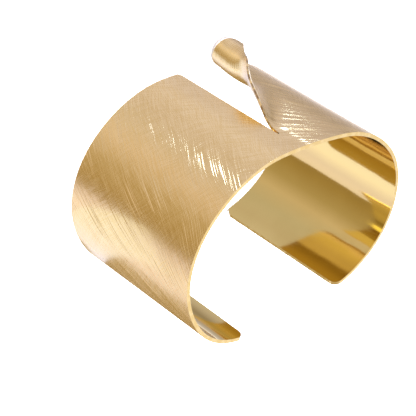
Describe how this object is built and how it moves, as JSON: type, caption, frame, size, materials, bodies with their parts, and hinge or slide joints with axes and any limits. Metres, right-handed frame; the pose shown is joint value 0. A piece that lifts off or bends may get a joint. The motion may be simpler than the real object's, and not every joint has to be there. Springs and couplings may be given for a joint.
{
  "type": "cuff bracelet",
  "caption": "Wide open cuff bracelet of sheet metal with a slit from one rim and the corner beside it rolled outwards.",
  "frame": {"origin": "centre of the bounding box at the height of the back rim, which the bracelet rests on", "axes": "+Z along the axis of the oval, from the back rim with the slit's mouth to the front rim; +Y out through the opening between the two ends; +X across the oval"},
  "size_m": [0.063, 0.051, 0.0345],
  "materials": {
    "gold_plated_brass": "brushed satin outside, polished inside and on the cut edge"
  },
  "bodies": {
    "root": {"cuff": "gold_plated_brass"}
  },
  "joints": []
}
